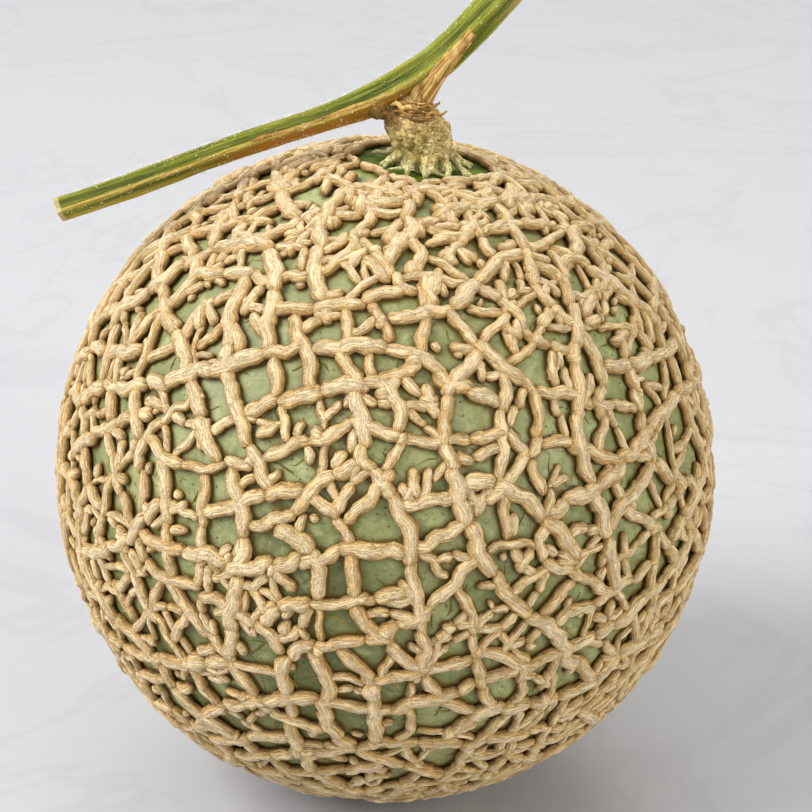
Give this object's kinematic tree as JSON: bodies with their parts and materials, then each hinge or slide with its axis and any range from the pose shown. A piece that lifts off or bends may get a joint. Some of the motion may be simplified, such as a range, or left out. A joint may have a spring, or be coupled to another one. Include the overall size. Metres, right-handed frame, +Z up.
{
  "type": "cantaloupe melon",
  "caption": "Whole netted melon: near-round fruit with a raised corky net over pale green skin, standing on a small flat spot, with a T-shaped piece of ridged vine on its stalk.",
  "frame": {"origin": "middle of the small flat spot that the fruit rests on", "axes": "+Z up through the fruit towards its stalk, -Y towards the picture's viewer, +X towards the vine's rising arm"},
  "size_m": [0.1497, 0.1493, 0.2074],
  "materials": {
    "netted_rind": "dry matt cork net over smooth pale green skin",
    "vine": "satin green, ridged and slightly hairy"
  },
  "bodies": {
    "root": {"fruit": "netted_rind", "stem": "vine"}
  },
  "joints": []
}
